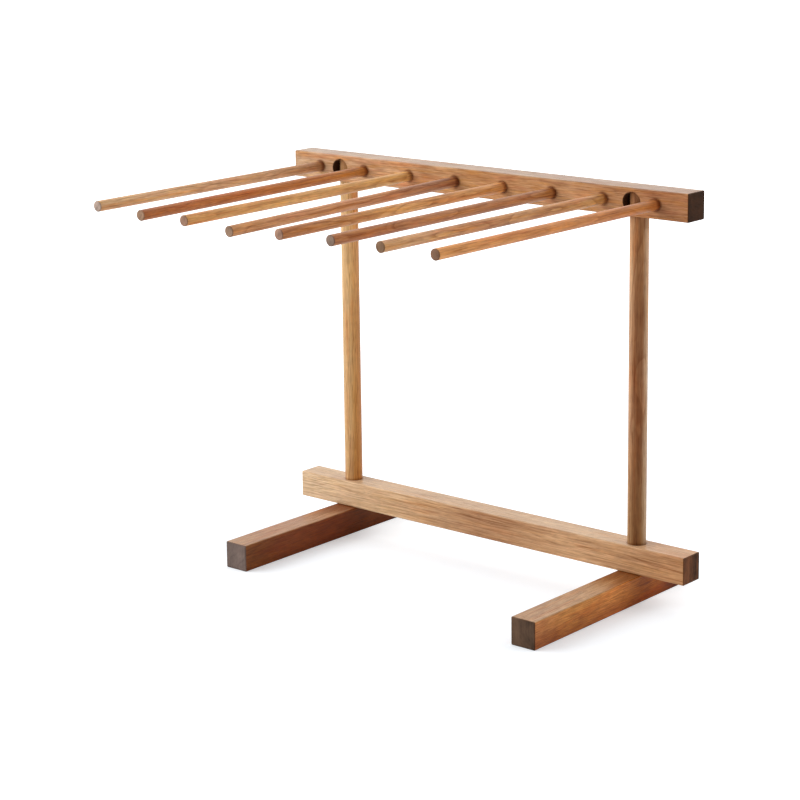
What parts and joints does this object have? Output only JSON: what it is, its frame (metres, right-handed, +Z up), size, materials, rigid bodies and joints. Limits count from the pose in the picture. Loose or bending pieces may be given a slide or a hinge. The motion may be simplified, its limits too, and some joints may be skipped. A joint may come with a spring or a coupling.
{
  "type": "pasta drying rack",
  "caption": "Free-standing wooden rack: square feet and base bar, round posts, and a lift-off hanger bar with a row of round arms for drying fresh pasta.",
  "frame": {"origin": "middle of the rack's bounding box seen from above, on the surface that it stands on", "axes": "+X along the bars, to the right seen from the front; -Y the way the arms point; +Z up"},
  "size_m": [0.4, 0.3214, 0.3288],
  "materials": {
    "base_bar_wood": "oiled, satin",
    "hanger_bar_wood": "oiled, satin",
    "foot_wood": "oiled, satin",
    "post_wood": "oiled, satin",
    "arm_wood": "oiled, satin",
    "pivot_steel": "zinc plated"
  },
  "bodies": {
    "base": {"base_bar": "base_bar_wood", "post_left": "post_wood", "post_right": "post_wood", "pivot_screw_left": "pivot_steel", "pivot_screw_right": "pivot_steel", "pivot_washer_left": "pivot_steel", "pivot_washer_right": "pivot_steel"},
    "left_foot": {"foot_left": "foot_wood"},
    "right_foot": {"foot_right": "foot_wood"},
    "hanger": {"hanger_bar": "hanger_bar_wood", "arm_1": "arm_wood", "arm_2": "arm_wood", "arm_3": "arm_wood", "arm_4": "arm_wood", "arm_5": "arm_wood", "arm_6": "arm_wood", "arm_7": "arm_wood", "arm_8": "arm_wood"}
  },
  "joints": [
    {"name": "hanger_lift", "type": "slide", "parent": "base", "child": "hanger", "axis": [0, 0, 1], "range_m": [0, 0.04]},
    {"name": "foot_left_fold", "type": "hinge", "parent": "base", "child": "left_foot", "pos_m": [-0.1485, 0.1092, 0], "axis": [0, 0, 1], "range_deg": [0, 90]},
    {"name": "foot_right_fold", "type": "hinge", "parent": "base", "child": "right_foot", "pos_m": [0.1485, 0.1092, 0], "axis": [0, 0, -1], "range_deg": [0, 90]}
  ]
}
